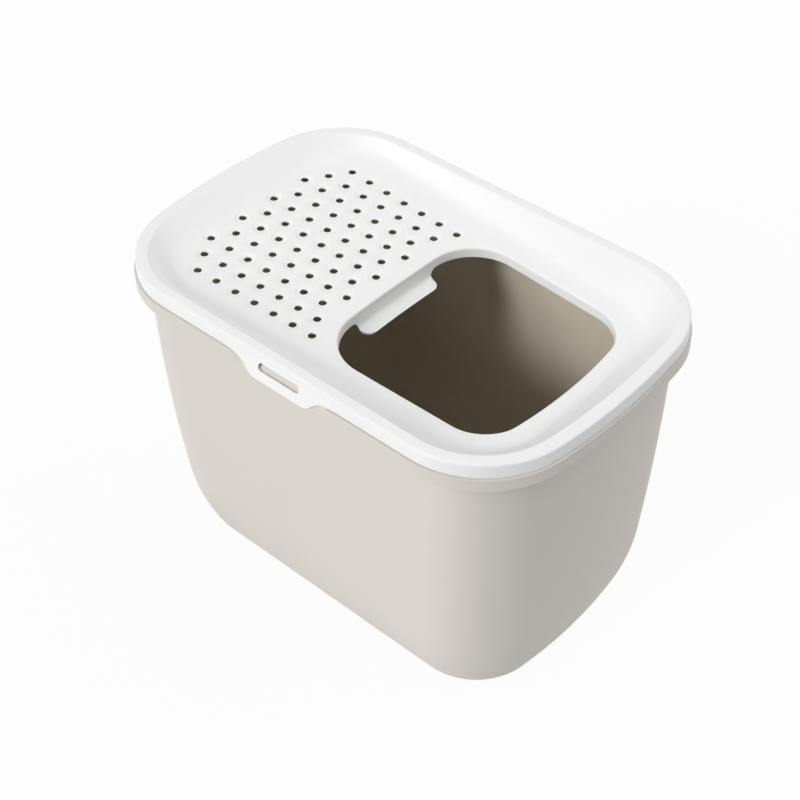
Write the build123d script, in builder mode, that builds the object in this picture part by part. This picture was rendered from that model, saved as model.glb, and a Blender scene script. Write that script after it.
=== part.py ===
from build123d import *
from math import atan2, cos, pi, sin, sqrt
import os

os.makedirs("parts", exist_ok=True)

# A tub with a lift-off lid that is entered from above.
# Origin: bottom centre. +X towards the entry end, +Y across, +Z up.

# Overall size, over the collar of the tub
length = 585.0
width = 386.8
height = 395.0

# Collar and lid share one outline: straight long sides, big corners, bowed ends
collar_corner = 111.6
collar_end = 764.4  # radius of the bowed ends
reveal = 2.4  # the collar stands this far outside the lid's skirt
fit_gap = 1.9  # skirt to upstand, all round
lift_gap = 0.1  # lid's underside above the upstand
skirt_gap = 1.3  # skirt's lower edge above the collar

# Tub
wall = 2.8
base = 3.0
band = 2.2  # thickness of collar band and upstand
band_height = 15.3
base_round = 12.0
ledge_x = 16.6  # collar overhangs the wall by this at the ends
ledge_y = 19.8  # and by this along the sides
taper_x = 20.6  # wall draws in this far from the collar to the base, at the ends
taper_y = 16.3
belly_x = 6.0  # outward swell of the wall half way down
belly_y = 32.4
wall_corner = 78.6
corner_growth = 12.6
wall_bow = 26.5
bow_loss = 8.7
foot_inset = 16.5  # the wall curls in this far below the curl height
curl_height = 88.5
round_spans = 3
curl_spans = 4
upper_spans = 3

# Lid
skin = 2.4
skirt = 2.2
skirt_height = 16.4
rim_side = 12.9
rim_end = 15.1
edge_bevel = 1.2

# Dish in the lid: its floor sinks from the rear end to the entry end
floor_drop = 24.5  # below the rim, at the middle
floor_slope = 0.0273
foot_back = 72.0  # floor's outline, in from the collar: at the rear end
foot_ahead = 55.5  # at the entry end
foot_beside = 27.4  # at the sides, where the floor is widest
foot_pinch = 60.0  # and where it is narrowest
foot_corner = 62.0
foot_round = 12.0

# Entry opening in the dish floor
mouth_rear = -15.0
mouth_ahead = 70.0  # opening in from the collar, at the entry end
mouth_beside = 67.1  # at the sides, where it is widest
mouth_pinch = 74.4
mouth_corner = 50.0
turn_down = 12.0
turn_skin = 2.0

# Grip under the rear edge of the opening
grip_drop = 22.0
grip_depth = 16.0
grip_short = 17.3  # the opening's straight edge runs on this far past each end of the grip
grip_corner = 10.0
grip_bend = 8.0

# Drain holes: a lattice that draws together towards the entry
row_count = 11
column_count = 7
hole_bore = 8.4  # over the corners
side_count = 8  # straight sides keep the many holes light
field_x = -113.0  # middle of the field
pitch_x = 27.73
pitch_y = 23.84
fan_ratio = 0.0096  # pitch lost per column
row_bow = 2.34

# Snap tabs of the lid and catches of the tub
tab_half = 40.0
tab_root = 57.0
tab_wing = 70.0
tab_drop = 16.4
tab_hinge = 9.0  # below the rim, where the tab leaves the skirt
tab_slope = 0.195  # how steeply the tab flares outwards
tab_blend = 9.0
slot_half = 29.0
slot_height = 10.4
slot_below = 11.0  # slot's upper edge below the rim
catch_gap = 2.4  # at each end of the catch
catch_play = 1.2  # above and below it
catch_clear = 0.4
recess_half = 66.0
recess_depth = 3.7

overlap = 1.0  # joined forms reach this far into each other, and cuts this far past a face

half_l = length / 2
half_w = width / 2
lid_top = height
lid_under = height - skin
skirt_low = height - skirt_height
collar_top = skirt_low - skirt_gap


def outline(level, half_x, half_y, corner, end):
    # Rounded rectangle with straight long sides and bowed ends
    end_x = half_x - end
    corner_y = half_y - corner
    corner_x = end_x + sqrt((end - corner) ** 2 - corner_y**2)
    turn = atan2(corner_y, corner_x - end_x)
    mid = (turn + pi / 2) / 2
    touch_x = end_x + end * cos(turn)
    touch_y = end * sin(turn)
    elbow_x = corner_x + corner * cos(mid)
    elbow_y = corner_y + corner * sin(mid)
    with BuildSketch(Plane.XY.offset(level)) as face:
        with BuildLine():
            Line((-corner_x, half_y), (corner_x, half_y))
            ThreePointArc((corner_x, half_y), (elbow_x, elbow_y), (touch_x, touch_y))
            ThreePointArc((touch_x, touch_y), (half_x, 0), (touch_x, -touch_y))
            ThreePointArc((touch_x, -touch_y), (elbow_x, -elbow_y), (corner_x, -half_y))
            Line((corner_x, -half_y), (-corner_x, -half_y))
            ThreePointArc((-corner_x, -half_y), (-elbow_x, -elbow_y), (-touch_x, -touch_y))
            ThreePointArc((-touch_x, -touch_y), (-half_x, 0), (-touch_x, touch_y))
            ThreePointArc((-touch_x, touch_y), (-elbow_x, elbow_y), (-corner_x, half_y))
        make_face()
    return face.sketch


def collar_plan(level, inset):
    return outline(level, half_l - inset, half_w - inset, collar_corner - inset, collar_end - inset)


def wall_plan(level, inset):
    # Section of the tub's wall at one height
    rise = level / collar_top
    swell = rise * (1 - rise)
    curl = max(0.0, 1 - level / curl_height)
    tuck = foot_inset * curl**2
    half_x = half_l - ledge_x - taper_x * (1 - rise) + belly_x * swell - tuck
    half_y = half_w - ledge_y - taper_y * (1 - rise) + belly_y * swell - tuck
    corner = wall_corner + corner_growth * (1 - rise) - tuck
    bow = wall_bow - bow_loss * (1 - rise)
    end = (half_y**2 + bow**2) / (2 * bow)
    return outline(level, half_x - inset, half_y - inset, corner - inset, end - inset)


def tapered(plane, rear, front, wide, narrow, corner):
    # Rounded trapezoid, wide at the rear
    with BuildSketch(plane) as face:
        with BuildLine():
            Polyline((rear, -wide), (front, -narrow), (front, narrow), (rear, wide), close=True)
        make_face()
        fillet(face.vertices(), corner)
    return face.sketch


# Tub: wall, base, flange, collar band and the upstand that carries the lid
levels = [base_round + (curl_height - base_round) * step / curl_spans for step in range(1, curl_spans)]
levels += [curl_height + (collar_top - curl_height) * step / upper_spans for step in range(upper_spans + 1)]
turns = [step * pi / 2 / round_spans for step in range(round_spans + 1)]


def rounded_sections(bottom, inset):
    # Sections of the rounded edge at the foot of the wall, then of the wall itself
    radius = base_round - inset
    edge = [wall_plan(bottom + radius * (1 - cos(turn)), inset + radius * (1 - sin(turn))) for turn in turns]
    return edge + [wall_plan(level, inset) for level in levels]


with BuildPart() as hollow:
    loft(rounded_sections(base, wall), ruled=True)


seat = reveal + skirt + fit_gap
seat_top = height - skin - lift_gap
tab_face = half_w - reveal
bar_inner = tab_face + tab_slope * (slot_below + slot_height - tab_hinge) - skin
catch_reach = bar_inner - catch_clear
catch_mid = height - slot_below - slot_height / 2
pocket_y = half_w - recess_depth

with BuildPart() as tub:
    loft(rounded_sections(0, 0), ruled=True)
    extrude(collar_plan(collar_top, 0), amount=-band)
    extrude(collar_plan(collar_top, 0) - collar_plan(collar_top, band), amount=-band_height)
    extrude(collar_plan(collar_top, seat) - collar_plan(collar_top, seat + band), amount=seat_top - collar_top)
    add(hollow.part, mode=Mode.SUBTRACT)
    for side in (-1, 1):
        # Pocket in the collar behind the snap tab, and the catch that stands in its slot
        with Locations((0, side * (pocket_y - band / 2 + overlap), collar_top - band_height / 2)):
            Box(2 * (recess_half + band), band + 2 * overlap, band_height)
        with Locations((0, side * (pocket_y + recess_depth), collar_top - band_height / 2)):
            Box(2 * recess_half, 2 * recess_depth, band_height + overlap, mode=Mode.SUBTRACT)
        with BuildSketch(Plane((0, side * (half_w - seat - band / 2), catch_mid), (1, 0, 0), (0, side, 0))):
            SlotOverall(2 * (slot_half - catch_gap), slot_height - 2 * catch_play)
        extrude(amount=catch_reach - half_w + seat + band / 2)

# Lid: rim with its skirt, and the dish
lean = atan2(floor_slope, 1)
floor_dir = (cos(lean), 0, -sin(lean))
floor_up = (sin(lean), 0, cos(lean))


def floor_plane(depth):
    return Plane((0, 0, height - floor_drop - depth), floor_dir, floor_up)


def crease_plan(level, grow):
    shift = rim_end - rim_side
    half_x = half_l - reveal - rim_end + grow
    half_y = half_w - reveal - rim_side + grow
    corner = collar_corner - reveal - rim_side + grow
    return outline(level, half_x, half_y, corner, collar_end - reveal - rim_side - shift + grow)


def foot_plan(depth, grow):
    rear = foot_back - half_l - grow
    front = half_l - foot_ahead + grow
    wide = half_w - foot_beside + grow
    narrow = half_w - foot_pinch + grow
    return tapered(floor_plane(depth), rear, front, wide, narrow, foot_corner + grow)


def mouth_plan(depth, grow):
    rear = mouth_rear - grow
    front = half_l - mouth_ahead + grow
    wide = half_w - mouth_beside + grow
    narrow = half_w - mouth_pinch + grow
    return tapered(floor_plane(depth), rear, front, wide, narrow, mouth_corner + grow)


with BuildPart() as dish:
    loft([crease_plan(lid_top, 0), foot_plan(0, 0)], ruled=True)
    fillet(dish.faces().sort_by(Axis.Z)[0].edges(), foot_round)

with BuildPart() as pan:
    loft([crease_plan(lid_top, skirt), foot_plan(skin, skin / 2)], ruled=True)

# Drill for one drain hole, standing on the floor plane
with BuildPart() as drill:
    with BuildSketch(Plane.XY.offset(-2 * skin)):
        RegularPolygon(hole_bore / 2, side_count)
    extrude(amount=3 * skin)

holes = []
for row in range(row_count):
    across = row - (row_count - 1) / 2
    inner = 0 < row < row_count - 1
    start = (1 - column_count) / 2 - (0 if not inner else 1 if row % 2 == 0 else 0.5)
    for column in range(column_count):
        along = start + column
        bow = row_bow * (2 * across / (row_count - 1)) ** 2
        x = field_x + pitch_x * along * (1 - fan_ratio * along / 2) + bow
        holes.append((x, pitch_y * across * (1 - fan_ratio * along), 0))

tab_up = sqrt(1 + tab_slope**2)
v_skirt = (tab_hinge - skirt_height) * tab_up
v_low = v_skirt - tab_drop * tab_up
v_slot = (tab_hinge - slot_below - slot_height / 2) * tab_up
grip_x = mouth_rear - turn_skin
grip_half = half_w - mouth_beside - mouth_corner - grip_short
grip_floor = height - floor_drop - floor_slope * mouth_rear - grip_drop
grip_top = grip_floor + grip_drop - overlap

# Grip: the turned-down edge of the opening runs deeper, bends and ends in a ledge with rounded corners
with BuildPart() as grip:
    with BuildSketch(Plane((0, grip_half, 0), (1, 0, 0), (0, -1, 0))) as section:
        with BuildLine():
            Polyline(
                (grip_x, grip_top),
                (grip_x, grip_floor - turn_skin),
                (grip_x + grip_depth, grip_floor - turn_skin),
                (grip_x + grip_depth, grip_floor),
                (grip_x + turn_skin, grip_floor),
                (grip_x + turn_skin, grip_top),
                close=True,
            )
        make_face()
        fillet(section.vertices().sort_by_distance((grip_x, grip_floor - turn_skin, 0))[0], grip_bend + turn_skin)
        fillet(section.vertices().sort_by_distance((grip_x + turn_skin, grip_floor, 0))[0], grip_bend)
    extrude(amount=2 * grip_half)
    ends = grip.edges().filter_by(Axis.Z).sort_by(Axis.X)[-2:]
    fillet(ends, grip_corner)

with BuildPart() as lid:
    extrude(collar_plan(skirt_low, reveal), amount=skirt_height)
    extrude(collar_plan(skirt_low, reveal + skirt), amount=skirt_height - skin, mode=Mode.SUBTRACT)
    add(pan.part)
    add(dish.part, mode=Mode.SUBTRACT)
    chamfer(lid.faces().sort_by(Axis.Z)[-1].outer_wire().edges(), edge_bevel)
    extrude(mouth_plan(0, turn_skin), amount=-turn_down)
    add(grip.part)
    extrude(mouth_plan(-overlap, 0), amount=-(turn_down + 2 * overlap), mode=Mode.SUBTRACT)
    for side in (-1, 1):
        # Snap tab, flaring out from the skirt, with the slot for its catch
        with BuildSketch(Plane((0, side * tab_face, height - tab_hinge), (-side, 0, 0), (0, side, tab_slope))) as tab:
            with BuildLine():
                Polyline(
                    (-tab_half, v_low),
                    (tab_half, v_low),
                    (tab_root, v_skirt),
                    (tab_wing, v_skirt),
                    (tab_root, 0),
                    (-tab_root, 0),
                    (-tab_wing, v_skirt),
                    (-tab_root, v_skirt),
                    close=True,
                )
            make_face()
            fillet(tab.vertices().filter_by_position(Axis.X, -tab_root - overlap, tab_root + overlap), tab_blend)
        extrude(amount=-skin)
        with BuildSketch(Plane((0, side * tab_face, height - tab_hinge), (-side, 0, 0), (0, side, tab_slope))):
            with Locations((0, v_slot)):
                SlotOverall(2 * slot_half, slot_height)
        extrude(amount=3 * skin, both=True, mode=Mode.SUBTRACT)
    with Locations(*[floor_plane(0) * Location(spot) for spot in holes]):
        add(drill.part, mode=Mode.SUBTRACT)

tub.part.label = "litter_tub"
lid.part.label = "entry_lid"
export_step(tub.part, "parts/litter_tub.step")
export_step(lid.part, "parts/entry_lid.step")
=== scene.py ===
import bmesh
import bpy
import numpy as np
from mathutils import Matrix
from mathutils.geometry import delaunay_2d_cdt


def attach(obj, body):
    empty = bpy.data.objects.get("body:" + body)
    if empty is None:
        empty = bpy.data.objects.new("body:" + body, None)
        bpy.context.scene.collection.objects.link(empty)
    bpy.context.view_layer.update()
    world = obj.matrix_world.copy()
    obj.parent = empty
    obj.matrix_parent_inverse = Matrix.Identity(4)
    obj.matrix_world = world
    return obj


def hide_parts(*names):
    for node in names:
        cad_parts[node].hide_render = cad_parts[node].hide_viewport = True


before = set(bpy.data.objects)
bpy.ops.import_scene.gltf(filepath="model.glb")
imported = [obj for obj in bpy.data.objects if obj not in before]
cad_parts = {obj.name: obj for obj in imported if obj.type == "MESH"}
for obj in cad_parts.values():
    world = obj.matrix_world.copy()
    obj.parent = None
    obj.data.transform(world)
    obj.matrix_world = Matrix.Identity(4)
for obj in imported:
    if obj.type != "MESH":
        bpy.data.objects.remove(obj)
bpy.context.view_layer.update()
print("frame loaded")

mm = 0.001
quarterTurn = np.pi / 2
weldDistance, slimEdge = 2e-5, 1e-6  # metres
sharpAngle = 0.6  # radians between faces that meet in a true corner
farAway = 300.0  # stands for "not beside a snap tab", in millimetres

# Sizes of the two mouldings, in millimetres
collar = {
    "halfLength": 292.5, "halfWidth": 193.4, "corner": 111.6, "end": 764.4, "top": 377.3, "height": 15.3,
}
rim = {
    "inset": 2.4, "top": 395.0, "skirtLow": 377.9, "side": 12.9, "end": 15.1, "edge": 2.3, "crease": 2.6,
}
floorPlane = {"drop": 23.9, "slope": 0.033}
thickness = 2.2


def smoothStep(low, high, value):
    # 0 below low, 1 above high, an S between
    share = np.clip((value - low) / (high - low), 0, 1)
    return share * share * (3 - 2 * share)


def floorHeight(x):
    return rim["top"] - floorPlane["drop"] - floorPlane["slope"] * x


def sideStations(columns, spare):
    # columns: x of the fixed ones along a straight side; spare: how many more on the way to each corner
    fixed = np.concatenate([-np.array(columns[::-1]), np.array(columns[1:])])
    rest = 1 + np.arange(1, spare + 1) / spare
    return np.concatenate([-rest[::-1], fixed / columns[-1], rest])


def ringStations(columns, spare, end, corner):
    # Stations counter-clockwise round a plan outline: kind (0 end, 1 corner, 2 side), share along it,
    # signs of x and y. end and corner hold shares from 0 up to, but without, 1
    side = sideStations(columns, spare)
    endBack = np.concatenate([[1], end[:0:-1]])
    cornerBack = np.concatenate([[1], corner[:0:-1]])
    parts = [
        (0, end, 1, 1),
        (1, corner, 1, 1),
        (2, side[:0:-1], 1, 1),
        (1, cornerBack, -1, 1),
        (0, endBack, -1, 1),
        (0, end, -1, -1),
        (1, corner, -1, -1),
        (2, side[:-1], 1, -1),
        (1, cornerBack, 1, -1),
        (0, endBack, 1, -1),
    ]
    kind = np.concatenate([np.full(len(share), number) for number, share, _, _ in parts])
    signX = np.concatenate([np.full(len(share), x) for _, share, x, _ in parts])
    signY = np.concatenate([np.full(len(share), y) for _, share, _, y in parts])
    share = np.concatenate([share for _, share, _, _ in parts])
    return {"kind": kind, "share": share, "signX": signX, "signY": signY, "zone": columns[-1]}


def evenShares(steps):
    return np.linspace(0, 1, steps, endpoint=False)


def planRing(stations, halfLength, halfWidth, corner, end):
    # Rounded rectangle with bowed ends: an arc of radius end, a corner arc tangent to it, a straight side.
    # The four sizes may be lists, one number per row. Gives points and outward normals per row and station
    size = [np.atleast_1d(np.asarray(v, float))[:, None] for v in (halfLength, halfWidth, corner, end)]
    halfLength, halfWidth, corner, end = size
    kind, share = stations["kind"][None], stations["share"][None]
    endX = halfLength - end
    cornerY = halfWidth - corner
    cornerX = endX + np.sqrt((end - corner) ** 2 - cornerY**2)
    turn = np.arctan2(cornerY, cornerX - endX)
    endAngle = share * turn
    cornerAngle = turn + (quarterTurn - turn) * share
    spread, zone = np.abs(share), stations["zone"]
    sideX = np.where(spread <= 1, spread * zone, zone + (spread - 1) * (cornerX - zone)) * np.sign(share)
    angle = np.where(kind == 0, endAngle, np.where(kind == 1, cornerAngle, quarterTurn))
    x = np.where(kind == 1, cornerX + corner * np.cos(angle), sideX)
    x = np.where(kind == 0, endX + end * np.cos(angle), x) * stations["signX"]
    y = np.where(kind == 1, cornerY + corner * np.sin(angle), halfWidth)
    y = np.where(kind == 0, end * np.sin(angle), y) * stations["signY"]
    normalX = np.where(kind == 2, 0, np.cos(angle) * stations["signX"])
    normalY = np.sin(angle) * stations["signY"]
    return np.stack([x, y], -1), np.stack([normalX, normalY], -1)


def gridFaces(rows, columns, keep=None, closed=True):
    # Quads of a grid of points whose rows may close on themselves; keep says which of them are wanted
    last = columns if closed else columns - 1
    row, column = np.meshgrid(np.arange(rows - 1), np.arange(last), indexing="ij")
    after = (column + 1) % columns
    here, above = row * columns, (row + 1) * columns
    quads = np.stack([here + column, here + after, above + after, above + column], -1).reshape(-1, 4)
    return quads if keep is None else quads[keep.reshape(-1)]


def buildPiece(name, parts, material, body, replaced=None, wall=None, caps=()):
    # Joins grids of points and their faces, welds the seams, gives a thin sheet its wall and sharpens true
    # corners. caps are faces with many corners that close the piece
    mesh = bpy.data.meshes.new(name)
    points, faces, start = [], [], 0
    for grid, quads in parts:
        points.append(grid.reshape(-1, 3) * mm)
        faces += (quads + start).tolist()
        start += len(points[-1])
    mesh.from_pydata(np.concatenate(points).tolist(), [], faces + list(caps))
    sheet = bmesh.new()
    sheet.from_mesh(mesh)
    bmesh.ops.remove_doubles(sheet, verts=sheet.verts, dist=weldDistance)
    bmesh.ops.dissolve_degenerate(sheet, edges=sheet.edges, dist=slimEdge)
    sheet.to_mesh(mesh)
    sheet.free()
    piece = bpy.data.objects.new(name, mesh)
    bpy.context.scene.collection.objects.link(piece)
    if wall:
        solid = piece.modifiers.new("wall", "SOLIDIFY")
        solid.thickness = wall * mm
        solid.offset = -1
        solid.use_even_offset = True
        solid.use_quality_normals = True
        bpy.context.view_layer.update()
        made = bpy.data.meshes.new_from_object(piece.evaluated_get(bpy.context.evaluated_depsgraph_get()))
        piece.modifiers.clear()
        piece.data = made
        made.name = name
    piece.data.polygons.foreach_set("use_smooth", np.ones(len(piece.data.polygons), bool))
    piece.data.set_sharp_from_angle(angle=sharpAngle)
    piece.data.materials.clear()
    piece.data.materials.append(material)
    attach(piece, body)
    if replaced:
        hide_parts(*replaced)
    print(name, len(piece.data.polygons), "faces")


class Wire:
    # A socket of a material; sums with it add Math nodes
    def __init__(self, tree, socket):
        self.tree = tree
        self.socket = socket

    def node(self, kind, settings, values, output=0):
        made = self.tree.nodes.new(kind)
        for key, value in settings.items():
            setattr(made, key, value)
        for key, value in values.items():
            if isinstance(value, Wire):
                self.tree.links.new(value.socket, made.inputs[key])
            else:
                made.inputs[key].default_value = value
        return Wire(self.tree, made.outputs[output])

    def maths(self, operation, first, second):
        return self.node("ShaderNodeMath", {"operation": operation}, {0: first, 1: second})

    def __add__(self, other):
        return self.maths("ADD", self, other)

    __radd__ = __add__

    def __sub__(self, other):
        return self.maths("SUBTRACT", self, other)

    def __rsub__(self, other):
        return self.maths("SUBTRACT", other, self)

    def __mul__(self, other):
        return self.maths("MULTIPLY", self, other)


def mouldedPlastic(name, look):
    # Matt moulded plastic: a fine even grain, a little flow unevenness, faint cloudiness in the gloss
    material = bpy.data.materials.new(name)
    material.use_nodes = True
    tree = material.node_tree
    shader = tree.nodes["Principled BSDF"]
    place = Wire(tree, tree.nodes.new("ShaderNodeTexCoord").outputs["Object"])
    grain, cloud, swell = (
        place.node("ShaderNodeTexNoise", {}, {"Vector": place, "Scale": look[scale], "Detail": detail})
        for scale, detail in (("grainScale", 2.0), ("cloudScale", 3.0), ("swellScale", 1.0))
    )
    shade = place.node(
        "ShaderNodeMix", {"data_type": "RGBA"},
        {0: cloud, 6: (*look["dark"], 1), 7: (*look["light"], 1)}, 2,
    )
    if look.get("paintedInsideShade"):
        # painted shade: faces that look towards the middle of the tub get a darker, warmer tone, standing in
        # for the shade inside it
        normal = Wire(tree, tree.nodes.new("ShaderNodeTexCoord").outputs["Normal"])
        middle = (0, 0, look["insideTop"])
        fromMiddle = place.node("ShaderNodeVectorMath", {"operation": "SUBTRACT"}, {0: place, 1: middle})
        outwards = normal.node(
            "ShaderNodeVectorMath", {"operation": "DOT_PRODUCT"}, {0: normal, 1: fromMiddle}, 1,
        )
        shade = shade.node(
            "ShaderNodeMix", {"data_type": "RGBA", "blend_type": "MULTIPLY"},
            {0: outwards.maths("LESS_THAN", outwards, 0.0), 6: shade, 7: (*look["paintedInsideShade"], 1)}, 2,
        )
    tree.links.new(shade.socket, shader.inputs["Base Color"])
    gloss = look["rough"] + (grain - 0.5) * look["roughGrain"] + (cloud - 0.5) * look["roughCloud"]
    tree.links.new(gloss.socket, shader.inputs["Roughness"])
    height = grain * look["grainDepth"] + swell * look["swellDepth"]
    bump = place.node("ShaderNodeBump", {}, {"Height": height, "Distance": 1.0, "Strength": 1.0})
    tree.links.new(bump.socket, shader.inputs["Normal"])
    shader.inputs["Specular IOR Level"].default_value = look["specular"]
    shader.inputs["IOR"].default_value = look["ior"]
    if look.get("glow"):
        shader.inputs["Subsurface Weight"].default_value = look["glow"]
        shader.inputs["Subsurface Radius"].default_value = look["glowReach"]
    return material


lidWhite = mouldedPlastic("lidWhite", {
    "dark": (0.785, 0.79, 0.785),
    "light": (0.815, 0.82, 0.815),
    "glow": 0.25,
    "glowReach": (0.004, 0.004, 0.003),
    "rough": 0.46,
    "roughGrain": 0.12,
    "roughCloud": 0.08,
    "grainScale": 1500.0,
    "grainDepth": 0.00002,
    "cloudScale": 9.0,
    "swellScale": 22.0,
    "swellDepth": 0.00012,
    "specular": 0.5,
    "ior": 1.49,
})
tubGrey = mouldedPlastic("tubGrey", {
    "dark": (0.598, 0.566, 0.523),
    "light": (0.623, 0.591, 0.548),
    # painted shade: darker, warmer tone multiplied onto the inward faces of the tub
    "paintedInsideShade": (0.99, 0.95, 0.85),
    "insideTop": 0.37,
    "rough": 0.5,
    "roughGrain": 0.14,
    "roughCloud": 0.08,
    "grainScale": 1300.0,
    "grainDepth": 0.00003,
    "cloudScale": 7.0,
    "swellScale": 16.0,
    "swellDepth": 0.0002,
    "specular": 0.3,
    "ior": 1.49,
})
print("plastics mixed")

# The lid, one thin sheet: skirt and rim, dish wall, floor with its drain holes, mouth, grip and snap tabs.
# The two rows of points above and below each slot run on round the whole skirt, at the rows* sizes
tab = {
    "half": 39.0, "root": 57.0, "low": 362.2, "soft": 6.0,
    "hinge": 386.0, "hingeSoft": 2.0, "flare": 0.195, "fadeFrom": 57.0, "fadeTo": 80.0,
    "slotHalf": 29.0, "slotMiddle": 378.8, "slotRound": 5.0,
    "rowsHalf": 1.2, "rowsFrom": 36.0, "rowsMiddle": 383.6, "rowsTo": 52.0,
}
dish = {"rear": -241.0, "front": 237.0, "wide": 167.5, "narrow": 133.4, "corner": 62.0, "round": 26.0}
mouth = {
    "rear": -14.9, "front": 207.2, "wide": 125.9, "narrow": 117.4, "cornerRear": 56.0,
    "cornerFront": 40.5, "bowRear": 2.9, "bowFront": 12.6, "edge": 2.3, "deep": 11.9, "draft": 0.4,
}
grip = {
    "half": 58.3, "deep": 23.5, "reach": 16.0, "bend": 7.0, "corner": 12.5, "lip": 0.6,
    "blend": 6.5, "blendDeep": 8.0,
    "shelf": (9.5, 11.0, 12.3, 13.4, 14.4),  # rows of points along the ledge, before its lip
}
drain = {
    "rows": 11, "columns": 7, "middleColumn": 3, "middleX": -112.3, "pitchX": 27.73, "pitchY": 23.84,
    "fan": 0.0096, "bow": 2.34, "sides": 24,
    "bore": 4.4, "lip": 0.4, "flat": 5.8, "slopeTo": 10.4, "dimple": 10.9, "depth": 1.4,
    "slopeRings": (10.4, 9.8, 9.1, 8.3, 7.4, 6.6, 5.8),
    "clear": 0.98,  # share of a dimple's radius within which the floor has no faces of its own
}


def softRamp(distance, soft):
    # 0 below -soft, distance above soft, a parabola between
    between = (distance + soft) ** 2 / (4 * soft)
    return np.where(distance < -soft, 0, np.where(distance > soft, distance, between))


def taperedRing(stations, along, rear, front, wide, narrow, cornerRear, cornerFront):
    # Rounded trapezoid, wide at the rear; along runs from -1 to 1 on the straight sides
    kind, share, signX, signY = (stations[key] for key in ("kind", "share", "signX", "signY"))
    tilt = np.arctan2(wide - narrow, front - rear)
    sideAngle = quarterTurn - tilt
    ahead = signX > 0
    corner = np.where(ahead, cornerFront, cornerRear)
    centreX = np.where(ahead, front - corner, rear + corner)
    centreY = narrow + (front - centreX) * np.tan(tilt) - corner / np.cos(tilt)
    bend = np.where(ahead, share * sideAngle, np.pi - share * (np.pi - sideAngle))
    frontTouch = front - cornerFront + cornerFront * np.cos(sideAngle)
    rearTouch = rear + cornerRear + cornerRear * np.cos(sideAngle)
    sideX = (frontTouch + rearTouch) / 2 + along * (frontTouch - rearTouch) / 2
    sideY = narrow + (front - sideX) * np.tan(tilt)
    x = np.where(kind == 1, centreX + corner * np.cos(bend), sideX)
    x = np.where(kind == 0, np.where(ahead, front, rear), x)
    y = np.where(kind == 1, centreY + corner * np.sin(bend), sideY)
    y = np.where(kind == 0, share * centreY, y)
    angle = np.where(kind == 0, np.where(ahead, 0, np.pi), np.where(kind == 1, bend, sideAngle))
    return np.stack([x, y * signY], -1), np.stack([np.cos(angle), np.sin(angle) * signY], -1)


def arcBlend(first, middle, last, turn, steps):
    # A circular arc between two tangents that meet at middle, as a quadratic with weight cos(turn / 2)
    t = np.linspace(0, 1, steps)[:, None, None]
    weight = np.cos(turn / 2)[None, :, None]
    a, b, c = (1 - t) ** 2, 2 * t * (1 - t) * weight, t * t
    return (a * first + b * middle + c * last) / (a + b + c)


def unit(vectors):
    return vectors / np.linalg.norm(vectors, axis=-1, keepdims=True)


def onFloor(flat):
    return np.concatenate([flat, floorHeight(flat[..., :1])], -1)


# columns of points along a long side, from the middle of the slot to where the tab has faded into the skirt
slotStraight = tab["slotHalf"] - tab["slotRound"]
slotEnd = slotStraight + tab["slotRound"] * np.sin(np.linspace(0, quarterTurn, 8))
lidColumns = [*np.arange(0, slotStraight, 3.0), *slotEnd, *np.arange(30, 70, 1.5), 72.0, 75.0, tab["fadeTo"]]
lidStations = ringStations(lidColumns, 9, evenShares(14), evenShares(20))
stationCount = len(lidStations["kind"])
lidPlan = [collar[key] - rim["inset"] for key in ("halfLength", "halfWidth", "corner", "end")]


def lidRing(inset):
    # One outline per inset, from the lid's outer face inwards
    inset = np.atleast_1d(inset)
    return planRing(lidStations, *(size - inset for size in lidPlan))


# skirt, from its lower edge up; the rows split round the slot of the snap tab
skirtFlat, skirtNormal = lidRing(0.0)
onSide = lidStations["kind"] == 2
fromMiddle = np.where(onSide, np.abs(skirtFlat[0, :, 0]), farAway)
steep = (rim["skirtLow"] - tab["low"]) / (tab["root"] - tab["half"])
climb = softRamp(fromMiddle - tab["half"], tab["soft"]) - softRamp(fromMiddle - tab["root"], tab["soft"])
skirtLow = tab["low"] + steep * climb
atSlot = fromMiddle <= tab["slotHalf"] + 0.01
slotHalf = np.where(
    atSlot,
    np.sqrt(np.clip(tab["slotRound"] ** 2 - np.clip(fromMiddle - slotStraight, 0, None) ** 2, 0, None)),
    tab["rowsHalf"] * smoothStep(tab["slotHalf"], tab["rowsFrom"], fromMiddle),
)
leaving = smoothStep(tab["slotHalf"], tab["rowsTo"], fromMiddle)
slotMiddle = tab["slotMiddle"] + (tab["rowsMiddle"] - tab["slotMiddle"]) * leaving
skirtHigh = np.full(stationCount, rim["top"] - rim["edge"])
marks = np.stack([skirtLow, slotMiddle - slotHalf, slotMiddle + slotHalf, skirtHigh])
steps = [4, 3, 5]  # rows of faces below, in and above the slot
skirtZ = [marks[i] + (marks[i + 1] - marks[i]) * (k / steps[i]) for i in range(3) for k in range(steps[i])]
skirtZ = np.stack([*skirtZ, marks[3]])
fading = 1 - smoothStep(tab["fadeFrom"], tab["fadeTo"], fromMiddle)
skirtOut = tab["flare"] * softRamp(tab["hinge"] - skirtZ, tab["hingeSoft"]) * fading
skirtRows = np.concatenate([skirtFlat + skirtOut[..., None] * skirtNormal, skirtZ[..., None]], -1)

# rounded outer edge of the rim
edgeTurn = np.linspace(0, quarterTurn, 7)[1:]
edgeFlat, _ = lidRing(rim["edge"] * (1 - np.cos(edgeTurn)))
edgeZ = rim["top"] - rim["edge"] + rim["edge"] * np.sin(edgeTurn)
edgeHigh = np.broadcast_to(edgeZ[:, None, None], (len(edgeZ), stationCount, 1))
edgeRows = np.concatenate([edgeFlat, edgeHigh], -1)

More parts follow.
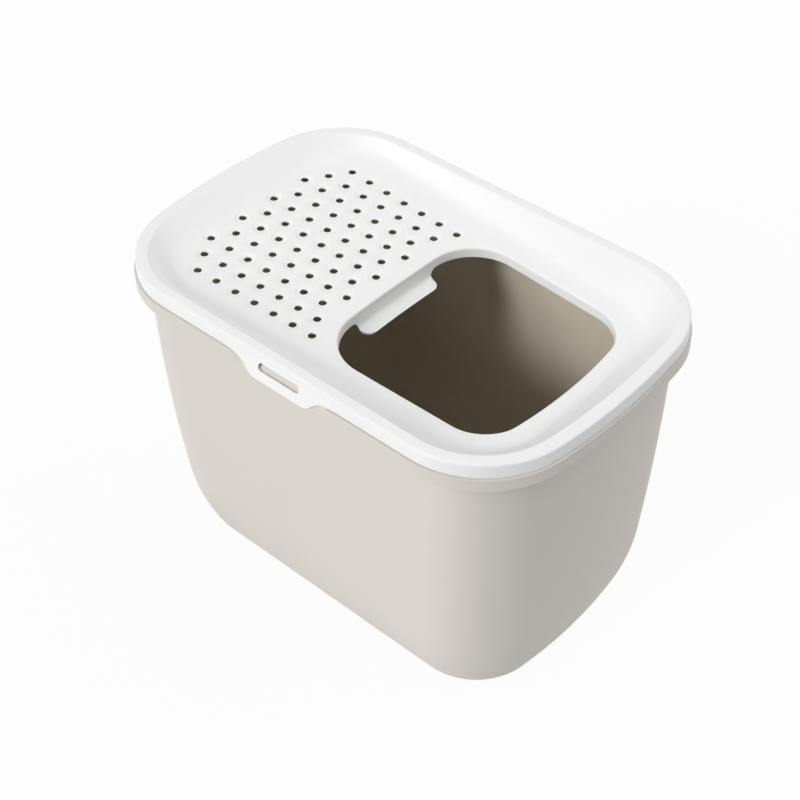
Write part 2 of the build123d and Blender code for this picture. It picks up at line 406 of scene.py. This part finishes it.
# crease, dish wall and the fillet at its foot
shift = rim["end"] - rim["side"]
creaseFlat, creaseNormal = planRing(
    lidStations,
    lidPlan[0] - rim["end"], lidPlan[1] - rim["side"],
    lidPlan[2] - rim["side"], lidPlan[3] - rim["side"] - shift,
)
crease = np.concatenate([creaseFlat[0], np.full((stationCount, 1), rim["top"])], -1)
outward = np.concatenate([creaseNormal[0], np.zeros((stationCount, 1))], -1)
cornerX = np.abs(creaseFlat[0, onSide, 0]).max()
along = np.where(onSide, creaseFlat[0, :, 0] / cornerX, 0)
footFlat, footNormal = taperedRing(
    lidStations, along,
    dish["rear"], dish["front"], dish["wide"], dish["narrow"], dish["corner"], dish["corner"],
)
foot = onFloor(footFlat)
inward = unit(np.concatenate([-footNormal, floorPlane["slope"] * footNormal[:, :1]], -1))
down = unit(foot - crease)
creaseTurn = np.arccos(np.clip((-outward * down).sum(-1), -1, 1))
footTurn = np.arccos(np.clip((inward * down).sum(-1), -1, 1))
creaseReach = (rim["crease"] * np.tan(creaseTurn / 2))[:, None]
footReach = (dish["round"] * np.tan(footTurn / 2))[:, None]
creaseRows = arcBlend(crease + outward * creaseReach, crease, crease + down * creaseReach, creaseTurn, 6)
footRows = arcBlend(foot - down * footReach, foot, foot + inward * footReach, footTurn, 9)
wallShare = np.linspace(0, 1, 6)[1:-1, None, None]
wallRows = creaseRows[-1:] + (footRows[:1] - creaseRows[-1:]) * wallShare
rimRows = np.concatenate([skirtRows, edgeRows, creaseRows, wallRows, footRows])
inSlot = atSlot & np.roll(atSlot, -1)
keep = np.ones((len(rimRows) - 1, stationCount), bool)
keep[steps[0]:steps[0] + steps[1], inSlot] = False
lidParts = [(rimRows, gridFaces(*rimRows.shape[:2], keep=keep))]

# mouth: rounded edge and turned-down wall
mouthTilt = np.arctan2(mouth["wide"] - mouth["narrow"], mouth["front"] - mouth["rear"])
mouthRearSpan = mouth["front"] - mouth["rear"] - mouth["cornerRear"]
mouthRearHalf = mouth["narrow"] + mouthRearSpan * np.tan(mouthTilt) - mouth["cornerRear"] / np.cos(mouthTilt)
gripShare = (grip["half"] + grip["blend"]) / mouthRearHalf
mouthStations = ringStations(
    list(np.arange(0, 50, 10.0)), 5,
    np.concatenate([np.linspace(0, gripShare, 13), np.linspace(gripShare, 1, 6)[1:-1]]), evenShares(12),
)


def mouthRing(grow):
    # Outline of the mouth, its ends bowed outwards; grow is the distance outside it
    flat, normal = taperedRing(
        mouthStations, mouthStations["share"] / 2,
        mouth["rear"] - grow, mouth["front"] + grow, mouth["wide"] + grow, mouth["narrow"] + grow,
        mouth["cornerRear"] + grow, mouth["cornerFront"] + grow,
    )
    middle = (mouth["rear"] + mouth["front"]) / 2
    reach = (flat[:, 0] - middle) / (mouth["front"] + grow - middle)
    bow = np.where(reach > 0, mouth["bowFront"], mouth["bowRear"]) * reach * np.abs(reach)
    half = grow + np.where(reach > 0, mouth["narrow"], mouth["wide"])
    flat[:, 0] += bow * (1 - (flat[:, 1] / half) ** 2)
    return flat


mouthTurn = np.linspace(0, quarterTurn, 7)
mouthGrow = [*(mouth["edge"] * (1 - np.sin(mouthTurn))), -mouth["draft"] / 2, -mouth["draft"]]
mouthDeep = [*(mouth["edge"] * (1 - np.cos(mouthTurn))), (mouth["edge"] + mouth["deep"]) / 2, mouth["deep"]]
mouthRows = np.stack([
    onFloor(mouthRing(grow)) - [0, 0, deep] for grow, deep in zip(mouthGrow, mouthDeep)
])
lidParts.append((mouthRows, gridFaces(*mouthRows.shape[:2])))

# grip: the rear wall runs on down, bends and ends in a ledge with rounded corners
onRear = (mouthStations["kind"] == 0) & (mouthStations["signX"] < 0)
atGrip = onRear & (mouthStations["share"] <= gripShare + 1e-6)
gripTop = mouthRows[-1, atGrip]
bend = np.linspace(0, quarterTurn, 9)
drop = grip["deep"] - mouth["deep"]
straight = np.linspace(0, drop - grip["bend"], 5)
shelf = np.array([*grip["shelf"], grip["reach"] - grip["lip"], grip["reach"]])
outReach = np.concatenate([0 * straight, grip["bend"] * (1 - np.cos(bend[1:])), shelf])
outDeep = np.concatenate([straight, drop - grip["bend"] * (1 - np.sin(bend[1:])), 0 * shelf + drop])
outDeep[-1] += grip["lip"]
past = np.clip(outReach - grip["reach"] + grip["corner"], 0, grip["corner"] * 0.995)
gripHalf = grip["half"] - grip["corner"] + np.sqrt(grip["corner"] ** 2 - past**2)
gripHalf += grip["blend"] * np.clip(1 - outDeep / grip["blendDeep"], 0, 1) ** 2
gripSide = gripTop[:, 1] / gripTop[:, 1].max()
gripRows = np.stack([
    np.stack([gripTop[:, 0] + reach, gripSide * half, gripTop[:, 2] - deep], -1)
    for reach, deep, half in zip(outReach, outDeep, gripHalf)
])
gripRows[0] = gripTop
lidParts.append((gripRows, gridFaces(*gripRows.shape[:2], closed=False)))

# drain holes: a staggered lattice that draws together towards the mouth
row, column = np.meshgrid(np.arange(drain["rows"]), np.arange(drain["columns"]), indexing="ij")
lastRow = drain["rows"] - 1
stagger = np.where((row == 0) | (row == lastRow), 0, np.where(row % 2 == 0, 1, 0.5))
across = row - lastRow / 2
step = column - drain["middleColumn"] - stagger
holeX = drain["middleX"] + drain["pitchX"] * step * (1 - drain["fan"] * step / 2)
holeX = (holeX + drain["bow"] * (2 * across / lastRow) ** 2).ravel()
holeY = (drain["pitchY"] * across * (1 - drain["fan"] * step)).ravel()
bore, lip = drain["bore"], drain["lip"]
radius = np.array([drain["dimple"], *drain["slopeRings"], bore + lip, bore + lip / 4, bore])
sink = drain["depth"] * (1 - smoothStep(drain["flat"], drain["slopeTo"], radius))
sink[-2:] += np.array([0.3, 1.0]) * lip
spin = np.linspace(0, 2 * np.pi, drain["sides"], endpoint=False)
ringX = holeX[:, None, None] + radius[None, :, None] * np.cos(spin)
ringY = holeY[:, None, None] + radius[None, :, None] * np.sin(spin)
holeRings = np.stack([ringX, ringY, floorHeight(ringX) - sink[None, :, None]], -1)
oneHole = gridFaces(len(radius), len(spin))
perHole = len(radius) * len(spin)
holeFaces = (np.arange(len(holeX))[:, None, None] * perHole + oneHole).reshape(-1, 4)
lidParts.append((holeRings, holeFaces))

# floor between the dish wall, the mouth and the dimples
loops = [rimRows[-1][:, :2], mouthRows[0][:, :2], *holeRings[:, 0, :, :2]]
flat = np.concatenate(loops)
start, sides = 0, []
for loop in loops:
    number = np.arange(len(loop))
    sides.append(np.stack([number, (number + 1) % len(loop)], -1) + start)
    start += len(loop)
found = delaunay_2d_cdt(flat.tolist(), np.concatenate(sides).tolist(), [], 1, 1e-5)
spots = np.array([list(v) for v in found[0]])
corners = np.array(found[2])
middle = spots[corners].mean(1)
inHole = (np.hypot(middle[:, :1] - holeX, middle[:, 1:] - holeY) < drain["dimple"] * drain["clear"]).any(1)
edgeFrom, edgeTo = loops[1], np.roll(loops[1], -1, 0)
crossing = (edgeFrom[:, 1] > middle[:, 1:]) != (edgeTo[:, 1] > middle[:, 1:])
slant = (edgeTo - edgeFrom)[:, 0] / np.where(edgeTo[:, 1] == edgeFrom[:, 1], 1, (edgeTo - edgeFrom)[:, 1])
ahead = middle[:, :1] < edgeFrom[:, 0] + (middle[:, 1:] - edgeFrom[:, 1]) * slant
inMouth = (crossing & ahead).sum(1) % 2 == 1
corners = corners[~(inHole | inMouth)]
lidParts.append((onFloor(spots), corners))

buildPiece("lidShell", lidParts, lidWhite, "lid", ["entry_lid"], thickness)
print("lid moulded")

# The tub, one closed profile carried round the plan: base, foot curl, bowed wall, flange with its band,
# upstand, and the same way down inside
wallShape = {
    "ledgeX": 16.6, "ledgeY": 19.8, "taperX": 20.6, "taperY": 16.3, "bellyX": 6.0, "bellyY": 32.4,
    "corner": 78.6, "cornerGrowth": 12.6, "bow": 26.5, "bowLoss": 8.7, "foot": 16.5, "curl": 88.5,
}
shell = {
    "wall": 2.8, "base": 3.0, "band": 2.2, "round": 12.0, "wallTop": 372.0, "neckFrom": 374.0,
    "seat": 6.5, "seatTop": 392.5, "seatMiddle": 385.0, "lip": 0.8, "crisp": 0.6,
    "recessFrom": 56.0, "recessTo": 68.0, "recess": 3.7, "recessLow": 0.6,
}


def wallSizes(level, inset):
    # Half length, half width, corner radius and end radius of the wall at one height
    rise = level / collar["top"]
    swell = rise * (1 - rise)
    tuck = wallShape["foot"] * np.clip(1 - level / wallShape["curl"], 0, 1) ** 2
    halfX = collar["halfLength"] - wallShape["ledgeX"] - wallShape["taperX"] * (1 - rise)
    halfY = collar["halfWidth"] - wallShape["ledgeY"] - wallShape["taperY"] * (1 - rise)
    halfX = halfX + wallShape["bellyX"] * swell - tuck
    halfY = halfY + wallShape["bellyY"] * swell - tuck
    corner = wallShape["corner"] + wallShape["cornerGrowth"] * (1 - rise) - tuck
    bow = wallShape["bow"] - wallShape["bowLoss"] * (1 - rise)
    end = (halfY**2 + bow**2) / (2 * bow)
    return np.stack([halfX, halfY, corner, end], -1) - np.asarray(inset)[..., None]


def collarSizes(inset):
    whole = np.array([collar[key] for key in ("halfLength", "halfWidth", "corner", "end")])
    return whole - np.asarray(inset, float)[..., None]


# columns of points along a long side: wide apart but where the collar steps back beside a snap tab
recessColumns = np.arange(shell["recessFrom"], shell["recessTo"] + 0.5, 1.0)
tubColumns = [*np.arange(0, shell["recessFrom"], 8.0), *recessColumns, 74.0, 80.0]
tubStations = ringStations(tubColumns, 6, evenShares(12), evenShares(20))
quarter = np.linspace(0, quarterTurn, 7)
bandLow = collar["top"] - collar["height"]
bandIn = shell["band"]
underside = collar["top"] - bandIn
soft = shell["lip"]

# levels and insets of the profile: foot and wall going up, flange and band, upstand, then the inside going
# down. The insets are those of the wall below the flange and of the collar from there on
footLevel = shell["round"] * (1 - np.cos(quarter))
wallLevel = np.concatenate([
    np.linspace(shell["round"], wallShape["curl"], 10)[1:],
    np.linspace(wallShape["curl"], shell["wallTop"], 16)[1:],
])
innerRound = shell["round"] - shell["wall"]
innerLevel = shell["base"] + innerRound * (1 - np.cos(quarter[::-1]))
innerInset = shell["wall"] + innerRound * (1 - np.sin(quarter[::-1]))
crisp = shell["crisp"]
collarTop = collar["top"]
bandInset = np.array([
    bandIn + crisp, bandIn, bandIn, bandIn, bandIn - soft / 2, soft / 2, 0, 0,
    *(soft * (1 - np.cos(quarter))),
])
bandLevel = np.array([
    underside, underside - crisp, underside - 6, bandLow + soft / 2, bandLow, bandLow, bandLow + soft / 2,
    bandLow + 6, *(collarTop - soft * (1 - np.sin(quarter))),
])
seatTop = shell["seatTop"]
seatInset = shell["seat"] + np.array([
    -1.0, -0.3, 0, 0, 0, 0.1, 0.35,
    bandIn - 0.35, bandIn - 0.1, bandIn, bandIn, bandIn + 1.2,
])
seatLevel = np.array([
    collarTop, collarTop + 0.3, collarTop + 1, shell["seatMiddle"], seatTop - crisp, seatTop - 0.2, seatTop,
    seatTop, seatTop - 0.2, seatTop - crisp, collarTop + 1.2, collarTop,
])
neckLevel = np.array([shell["neckFrom"], underside])
profile = [
    (wallSizes(footLevel, shell["round"] * (1 - np.sin(quarter))), footLevel),
    (wallSizes(wallLevel, 0 * wallLevel), wallLevel),
    (wallSizes(neckLevel, np.array([-0.6, -2.4])), neckLevel),
    (collarSizes(bandInset), bandLevel),
    (collarSizes(seatInset), seatLevel),
    (wallSizes(np.full(3, collarTop), np.array([0.8, 2.4, 2.8])), collarTop - np.array([0, 0.1, 0.8])),
    (wallSizes(wallLevel[::-1], shell["wall"] + 0 * wallLevel), wallLevel[::-1]),
    (wallSizes(innerLevel, innerInset), innerLevel),
]
sizes = np.concatenate([part for part, _ in profile])
level = np.concatenate([part for _, part in profile])
tubFlat, tubNormal = planRing(tubStations, *sizes.T)

# the collar steps back behind each snap tab
bandFrom = sum(len(part) for _, part in profile[:3])
ofBand = (np.arange(len(level)) >= bandFrom) & (np.arange(len(level)) < bandFrom + len(bandLevel))
fromMiddle = np.where(tubStations["kind"] == 2, np.abs(tubFlat[0, :, 0]), farAway)
pocket = 1 - smoothStep(shell["recessFrom"], shell["recessTo"], fromMiddle)
upBand = np.clip((level - bandLow) / collar["height"], 0, 1)
depth = shell["recessLow"] + (shell["recess"] - shell["recessLow"]) * upBand
tubFlat -= (ofBand * depth)[:, None, None] * pocket[None, :, None] * tubNormal
tubRows = np.concatenate([tubFlat, np.broadcast_to(level[:, None, None], (*tubFlat.shape[:2], 1))], -1)
tubCount = len(tubStations["kind"])

# one flat face closes the base and one the floor of the tub
last = (len(tubRows) - 1) * tubCount
caps = [list(range(tubCount))[::-1], list(range(last, last + tubCount))]
tubParts = [(tubRows, gridFaces(*tubRows.shape[:2]))]
buildPiece("tubShell", tubParts, tubGrey, "tub", ["litter_tub"], caps=caps)

# a catch stands in the slot of each snap tab
catch = {
    "half": 26.9, "aside": 1.3, "tall": 10.2, "middle": 378.8, "from": 185.0, "reach": 189.1,
    "edge": 0.6, "face": 2.0, "lean": 0.2, "corners": 48,
}
around = np.linspace(0, 2 * np.pi, catch["corners"], endpoint=False) + np.pi / catch["corners"]
# rings from the root outwards: back, side, rounded edge, face. The middle ring of each end shrinks to a line
middleInset = catch["tall"] / 2
rounded = catch["edge"] * (1 - np.cos(quarter[1:]))
inset = np.array([middleInset, 0, 0, *rounded, catch["face"], middleInset])
turned = catch["reach"] - catch["edge"] * (1 - np.sin(quarter[1:]))
reach = np.array([
    catch["from"], catch["from"], catch["reach"] - catch["edge"], *turned, catch["reach"], catch["reach"],
])
bend = (middleInset - inset)[:, None]
straight = catch["half"] - middleInset
x = np.sign(np.cos(around)) * straight + bend * np.cos(around) + catch["aside"]
z = catch["middle"] + bend * np.sin(around)
y = reach[:, None] + catch["lean"] * (catch["middle"] + middleInset - z)
for side, name in ((-1, "frontCatch"), (1, "rearCatch")):
    block = np.stack([x * -side, side * y, z], -1)
    buildPiece(name, [(block, gridFaces(*block.shape[:2]))], tubGrey, "tub")
print("tub moulded")

# Studio: a tele lens above the near corner, soft suns from the front and from behind, dim sky, white floor
view = {
    "azimuth": 42.88, "elevation": 42.36, "roll": -1.19, "distance": 1905.86, "aimHeight": 200.0,
    "across": -9.20, "up": 12.59, "lens": 75.277, "sensor": 36.0, "near": 0.05, "far": 50.0,
}
azimuth, elevation, roll = (np.radians(view[key]) for key in ("azimuth", "elevation", "roll"))
back = np.array([
    np.sin(azimuth) * np.cos(elevation), -np.cos(azimuth) * np.cos(elevation), np.sin(elevation),
])
right = np.array([np.cos(azimuth), np.sin(azimuth), 0])
up = np.cross(back, right)
right, up = np.cos(roll) * right + np.sin(roll) * up, np.cos(roll) * up - np.sin(roll) * right
spot = [0, 0, view["aimHeight"]] + view["across"] * right + view["up"] * up + view["distance"] * back
camera = bpy.data.objects.new("camera", bpy.data.cameras.new("camera"))
camera.data.lens = view["lens"]
camera.data.sensor_width = view["sensor"]
camera.data.clip_start, camera.data.clip_end = view["near"], view["far"]
aimed = Matrix(np.stack([right, up, back], 1).tolist()).to_4x4()
camera.matrix_world = Matrix.Translation((spot * mm).tolist()) @ aimed
bpy.context.scene.collection.objects.link(camera)
bpy.context.scene.camera = camera


def openRays(tree):
    # 1 for rays from the camera, a mirror or glass, 0 for those that only light
    rays = tree.nodes.new("ShaderNodeLightPath")
    kinds = ("Camera", "Glossy", "Transmission")
    camera, glossy, through = (Wire(tree, rays.outputs[f"Is {kind} Ray"]) for kind in kinds)
    seen = camera.maths("MAXIMUM", camera, glossy)
    return seen.maths("MAXIMUM", seen, through)


light = {
    "sky": 0.37, "screen": (0.72, -0.45, -0.53), "screenFrom": -0.05, "screenTo": 0.6, "screenDepth": 0.97,
    "floor": (0.7, 0.7, 0.7), "floorRough": 0.9, "floorSize": 8.0, "floorLow": -0.0003, "white": 0.94,
}
# soft suns: strength, degrees from the front towards the entry end, degrees up, degrees wide
lamps = {
    "key": (1.24, -4.0, 31.0, 15.0),
    "lowKey": (0.81, -4.0, 16.0, 20.0),
    "fill": (0.5, -35.0, 35.0, 18.0),
    "backLeft": (0.59, 185.0, 50.0, 50.0),
    "backRight": (1.08, 130.0, 35.0, 50.0),
}
for name, (strength, turn, rise, width) in lamps.items():
    lamp = bpy.data.objects.new(name, bpy.data.lights.new(name, "SUN"))
    lamp.data.energy = strength
    lamp.data.angle = np.radians(width)
    lamp.rotation_euler = (np.radians(90 - rise), 0, np.radians(turn))
    bpy.context.scene.collection.objects.link(lamp)

bpy.context.scene.view_settings.view_transform = "Standard"
world = bpy.data.worlds.new("studio")
bpy.context.scene.world = world
world.use_nodes = True
tree = world.node_tree
sky = tree.nodes["Background"]
seen = openRays(tree)
sky.inputs["Color"].default_value = (1, 1, 1, 1)
# an even sky with a low dark screen beside the entry end
outwards = Wire(tree, tree.nodes.new("ShaderNodeTexCoord").outputs["Generated"])
facing = outwards.node(
    "ShaderNodeVectorMath", {"operation": "DOT_PRODUCT"}, {0: outwards, 1: light["screen"]}, 1,
)
beside = facing.node(
    "ShaderNodeMapRange", {"interpolation_type": "SMOOTHSTEP"},
    {0: facing, 1: light["screenFrom"], 2: light["screenTo"]},
)
bright = (1 - beside * light["screenDepth"]) * light["sky"]
tree.links.new((seen * (1 - bright) + bright).socket, sky.inputs["Strength"])

floorMesh = bpy.data.meshes.new("floor")
half = light["floorSize"] / 2
low = light["floorLow"]
square = [(-half, -half, low), (half, -half, low), (half, half, low), (-half, half, low)]
floorMesh.from_pydata(square, [], [(0, 1, 2, 3)])
floor = bpy.data.objects.new("floor", floorMesh)
bpy.context.scene.collection.objects.link(floor)
ground = bpy.data.materials.new("ground")
ground.use_nodes = True
tree = ground.node_tree
paper = tree.nodes["Principled BSDF"]
paper.inputs["Base Color"].default_value = (*light["floor"], 1)
paper.inputs["Roughness"].default_value = light["floorRough"]
paper.inputs["Specular IOR Level"].default_value = 0.0
# to the camera and to mirrors the floor is whiter, and keeps a faint shadow
seen = openRays(tree)
glow = seen.node("ShaderNodeEmission", {}, {"Color": (1, 1, 1, 1), "Strength": 1.0})
matt = Wire(tree, paper.outputs[0])
mixed = seen.node("ShaderNodeMixShader", {}, {0: seen * light["white"], 1: matt, 2: glow})
tree.links.new(mixed.socket, tree.nodes["Material Output"].inputs["Surface"])
floorMesh.materials.append(ground)
print("studio lit")
